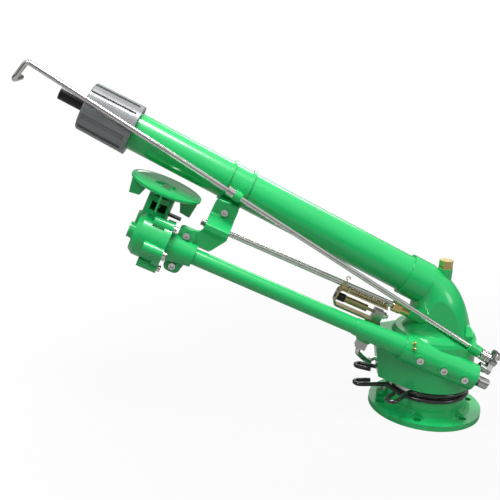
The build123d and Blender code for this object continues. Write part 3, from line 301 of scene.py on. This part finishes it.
finishes = {
    "greenEnamel": skinMaterial("greenEnamel", greenPaint),
    "flangeEnamel": flangeMaterial("flangeEnamel", greenPaint, turnedBand),
    "capPlastic": skinMaterial("capPlastic", {
        "tone": (0.16, 0.172, 0.176), "second": (0.21, 0.222, 0.226), "patchScale": 20.0,
        "grain": 1400.0, "rough": 0.34, "bump": 0.12}),
    "blackPlastic": skinMaterial("blackPlastic", {
        "tone": (0.006, 0.006, 0.007), "second": (0.014, 0.014, 0.015), "grain": 1500.0, "rough": 0.32,
        "specular": 0.35, "bump": 0.08}),
    "blackRubber": skinMaterial("blackRubber", {
        "tone": (0.02, 0.02, 0.02), "second": (0.045, 0.045, 0.043), "grain": 1100.0, "rough": 0.6,
        "bump": 0.2}),
    "blackWirePaint": skinMaterial("blackWirePaint", {
        "tone": (0.008, 0.008, 0.009), "second": (0.03, 0.03, 0.032), "patchScale": 60.0,
        "grain": 700.0, "rough": 0.24, "coat": 0.4, "bump": 0.08}),
    "paleSeal": skinMaterial("paleSeal", {
        "tone": (0.7, 0.69, 0.64), "second": (0.52, 0.51, 0.47), "rough": 0.5}),
    "greyPlastic": skinMaterial("greyPlastic", {
        "tone": (0.2, 0.21, 0.22), "second": (0.26, 0.27, 0.28), "rough": 0.45}),
    "brightSteel": metalMaterial("brightSteel", {
        "tone": (0.74, 0.73, 0.71), "dark": (0.4, 0.39, 0.38), "rough": 0.13, "stretch": (30, 900, 900)}),
    "turnedSteel": metalMaterial("turnedSteel", {
        "tone": (0.5, 0.5, 0.5), "dark": (0.25, 0.25, 0.26), "rough": 0.28, "stretch": (300, 300, 1500)}),
    "bearingSteel": metalMaterial("bearingSteel", {
        "tone": (0.62, 0.62, 0.64), "dark": (0.4, 0.4, 0.42), "rough": 0.12}),
    "dullSteel": metalMaterial("dullSteel", {
        "tone": (0.5, 0.5, 0.48), "dark": (0.2, 0.2, 0.19), "rough": 0.3, "stretch": (500, 500, 500)}),
    "brassTurned": metalMaterial("brassTurned", {
        "tone": (0.62, 0.5, 0.2), "dark": (0.38, 0.29, 0.1), "rough": 0.27, "stretch": (700, 700, 700)}),
    "bronzeTurned": metalMaterial("bronzeTurned", {
        "tone": (0.55, 0.36, 0.18), "dark": (0.33, 0.2, 0.09), "rough": 0.3, "stretch": (400, 400, 1800)}),
    "yellowZinc": metalMaterial("yellowZinc", {
        "tone": (0.52, 0.45, 0.24), "dark": (0.16, 0.13, 0.06), "rough": 0.3, "stretch": (260, 260, 260)}),
}
print("stage: materials made,", len(finishes))

finishOf = {
    "greenEnamel": ["body_casting", "barrel", "shaft_tube", "gearbox_front", "gearbox_rear", "impeller",
                    "yoke_bracket"],
    "flangeEnamel": ["base_flange"],
    "capPlastic": ["nozzle_cap"],
    "blackPlastic": ["nozzle_insert", "plunger_cap", "keeper_plate"],
    "greyPlastic": ["flow_straightener"],
    "paleSeal": ["nozzle_seal"],
    "blackRubber": ["dust_seal", "water_seal"],
    "blackWirePaint": ["upper_stop_ring", "lower_stop_ring"],
    "brightSteel": ["breaker_rod", "breaker_collar", "torsion_spring", "trip_rod", "trip_shaft",
                    "drive_water_tube", "housing_screws", "gearbox_screws", "yoke_screws", "impeller_screw",
                    "toggle_bolt", "impeller_shaft", "clamp_bolt", "hub_pin"],
    "turnedSteel": ["drive_shaft", "output_worm", "input_worm", "ring_gear_key", "gear_circlip",
                    "bearing_circlip", "drive_nozzle"],
    "bearingSteel": ["bearing_inner_race", "bearing_outer_race", "bearing_balls"],
    "dullSteel": ["crank_arm", "breaker_roller", "breaker_cam", "trip_clevis", "pivot_block"],
    "brassTurned": ["pressure_plug", "compression_nut", "fitting_body", "grease_nipples"],
    "bronzeTurned": ["ring_gear", "upper_bush", "worm_bushes", "gearbox_shaft_bush", "impeller_bushes",
                     "worm_wheel"],
    "yellowZinc": ["toggle_frame", "plunger", "over_centre_spring"],
}


def assignFinishes():
    for finish, names in finishOf.items():
        for name in names:
            obj = nodes[name]
            for slot in obj.material_slots:
                slot.material = finishes[finish]
            if not obj.material_slots:
                obj.data.materials.append(finishes[finish])
    left = set(nodes) - {n for names in finishOf.values() for n in names}
    print("stage: finishes assigned, without one:", sorted(left))


assignFinishes()


# The wire eye that stands on the toggle frame's front finger
wireEye = {
    "centre": (-0.14750, -0.03361, 0.21799),
    "radius": 0.0028,
    "wire": 0.0008,
    "points": 28,
    "lowest": 14,
    "openTo": 19,
    "stem": 0.0065,
    "wireSteps": 3,
    "smoothTo": 40.0,
    "tilt": 20.0,
}


def makeWireEye(s):
    bpy.ops.object.select_all(action="DESELECT")
    bpy.ops.mesh.primitive_circle_add(vertices=s["points"], radius=s["radius"])
    hook = bpy.context.object
    hook.name = "spring_hook"
    # the ring is opened beside its lowest point, which is drawn down into the stem
    bpy.ops.object.mode_set(mode="EDIT")
    bpy.ops.mesh.select_mode(type="VERT")
    bpy.ops.mesh.select_all(action="DESELECT")
    bpy.ops.object.mode_set(mode="OBJECT")
    for v in hook.data.vertices:
        v.select = s["lowest"] < v.index <= s["openTo"]
    bpy.ops.object.mode_set(mode="EDIT")
    bpy.ops.mesh.delete(type="VERT")
    bpy.ops.object.mode_set(mode="OBJECT")
    for v in hook.data.vertices:
        v.select = v.index == s["lowest"]
    bpy.ops.object.mode_set(mode="EDIT")
    bpy.ops.mesh.extrude_vertices_move(TRANSFORM_OT_translate={"value": (0, -s["stem"], 0)})
    bpy.ops.object.mode_set(mode="OBJECT")
    bpy.ops.object.convert(target="CURVE")
    hook = bpy.context.object
    hook.data.bevel_depth = s["wire"]
    hook.data.bevel_resolution = s["wireSteps"]
    hook.data.use_fill_caps = True
    bpy.ops.object.convert(target="MESH")
    hook = bpy.context.object
    bpy.ops.transform.rotate(value=math.radians(-90), orient_axis="X", center_override=(0, 0, 0))
    bpy.ops.transform.rotate(value=math.radians(-s["tilt"]), orient_axis="Y", center_override=(0, 0, 0))
    bpy.ops.transform.translate(value=s["centre"])
    bpy.ops.object.transform_apply(location=True, rotation=True, scale=True)
    bpy.ops.object.mode_set(mode="EDIT")
    bpy.ops.mesh.select_all(action="SELECT")
    bpy.ops.mesh.normals_make_consistent(inside=False)
    bpy.ops.object.mode_set(mode="OBJECT")
    bpy.ops.object.shade_smooth_by_angle(angle=math.radians(s["smoothTo"]))
    hook.data.materials.clear()
    hook.data.materials.append(finishes["yellowZinc"])
    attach(hook, "toggle")
    print("stage: wire eye made, faces", len(hook.data.polygons))


makeWireEye(wireEye)


# Floor, light and background

studio = {
    "floorSize": 60,
    "floorDrop": 0.0006,
    "lampSides": 0.7,
    "floorTone": (0.3, 0.3, 0.3, 1),
    "whiteNear": 0.93,
    "fadeFrom": 0.3,
    "fadeTo": 0.9,
    "lamps": [
        ("keyLamp", (-1.1, -1.3, 1.9), (-0.2, 0.0, 0.25), 0.7, 13.0),
        ("topLamp", (-0.1, -0.25, 2.0), (-0.25, 0.0, 0.25), 0.8, 44.0),
        ("rightLamp", (1.5, -0.9, 0.9), (-0.1, 0.0, 0.25), 0.6, 5.0),
        ("rearLamp", (0.3, 1.7, 1.3), (-0.2, 0.0, 0.25), 0.8, 9.0),
    ],
    "horizon": 0.06,
    "horizonTo": 0.05,
    "ceiling": 0.7,
    "ceilingFrom": 0.55,
}


def seenDirectly(tree):
    # one where the camera looks at the surface, straight or through a clear piece
    path = tree.nodes.new("ShaderNodeLightPath")
    return mathNode(tree, "ADD", path.outputs["Is Camera Ray"], path.outputs["Is Transmission Ray"], True)


def makeFloor(s):
    bpy.ops.mesh.primitive_plane_add(size=s["floorSize"], location=(0, 0, -s["floorDrop"]))
    floor = bpy.context.object
    floor.name = "studioFloor"
    bpy.ops.object.transform_apply(location=True, rotation=True, scale=True)
    material, tree, shader = newMaterial("floorPaper")
    shader.inputs["Base Color"].default_value = s["floorTone"]
    shader.inputs["Roughness"].default_value = 0.9
    shader.inputs["Specular IOR Level"].default_value = 0.1
    place = tree.nodes.new("ShaderNodeTexCoord").outputs["Object"]
    length = tree.nodes.new("ShaderNodeVectorMath")
    length.operation = "LENGTH"
    tree.links.new(place, length.inputs[0])
    fade = tree.nodes.new("ShaderNodeMapRange")
    fade.interpolation_type = "SMOOTHSTEP"
    fade.inputs["From Min"].default_value = s["fadeFrom"]
    fade.inputs["From Max"].default_value = s["fadeTo"]
    fade.inputs["To Min"].default_value = s["whiteNear"]
    fade.inputs["To Max"].default_value = 1.0
    tree.links.new(length.outputs["Value"], fade.inputs["Value"])
    white = tree.nodes.new("ShaderNodeEmission")
    mix = tree.nodes.new("ShaderNodeMixShader")
    tree.links.new(mathNode(tree, "MULTIPLY", fade.outputs[0], seenDirectly(tree)), mix.inputs[0])
    tree.links.new(shader.outputs[0], mix.inputs[1])
    tree.links.new(white.outputs[0], mix.inputs[2])
    tree.links.new(mix.outputs[0], tree.nodes["Material Output"].inputs["Surface"])
    floor.data.materials.append(material)


def makeLamps(s):
    for name, place, target, size, power in s["lamps"]:
        data = bpy.data.lights.new(name, "AREA")
        data.shape = "RECTANGLE"
        data.size = size
        data.size_y = size * s["lampSides"]
        data.energy = power
        lamp = bpy.data.objects.new(name, data)
        bpy.context.scene.collection.objects.link(lamp)
        aim = Vector(target) - Vector(place)
        lamp.matrix_world = Matrix.Translation(place) @ aim.to_track_quat("-Z", "Y").to_matrix().to_4x4()


def makeWorld(s):
    world = bpy.data.worlds.new("paleStudio")
    bpy.context.scene.world = world
    world.use_nodes = True
    tree = world.node_tree
    back = tree.nodes["Background"]
    back.inputs["Color"].default_value = (1, 1, 1, 1)
    # a dark horizon under a bright ceiling, which the gloss shows as streaks
    split = tree.nodes.new("ShaderNodeSeparateXYZ")
    tree.links.new(tree.nodes.new("ShaderNodeTexCoord").outputs["Generated"], split.inputs[0])
    rise = tree.nodes.new("ShaderNodeMapRange")
    rise.interpolation_type = "SMOOTHSTEP"
    tree.links.new(split.outputs["Z"], rise.inputs["Value"])
    rise.inputs["From Min"].default_value = s["horizonTo"]
    rise.inputs["From Max"].default_value = s["ceilingFrom"]
    rise.inputs["To Min"].default_value = s["horizon"]
    rise.inputs["To Max"].default_value = s["ceiling"]
    seen = seenDirectly(tree)
    unseen = mathNode(tree, "SUBTRACT", 1.0, seen)
    strength = mathNode(tree, "ADD", mathNode(tree, "MULTIPLY", unseen, rise.outputs[0]), seen)
    tree.links.new(strength, back.inputs["Strength"])


bpy.ops.object.select_all(action="DESELECT")
makeFloor(studio)
makeLamps(studio)
makeWorld(studio)
print("stage: studio made")
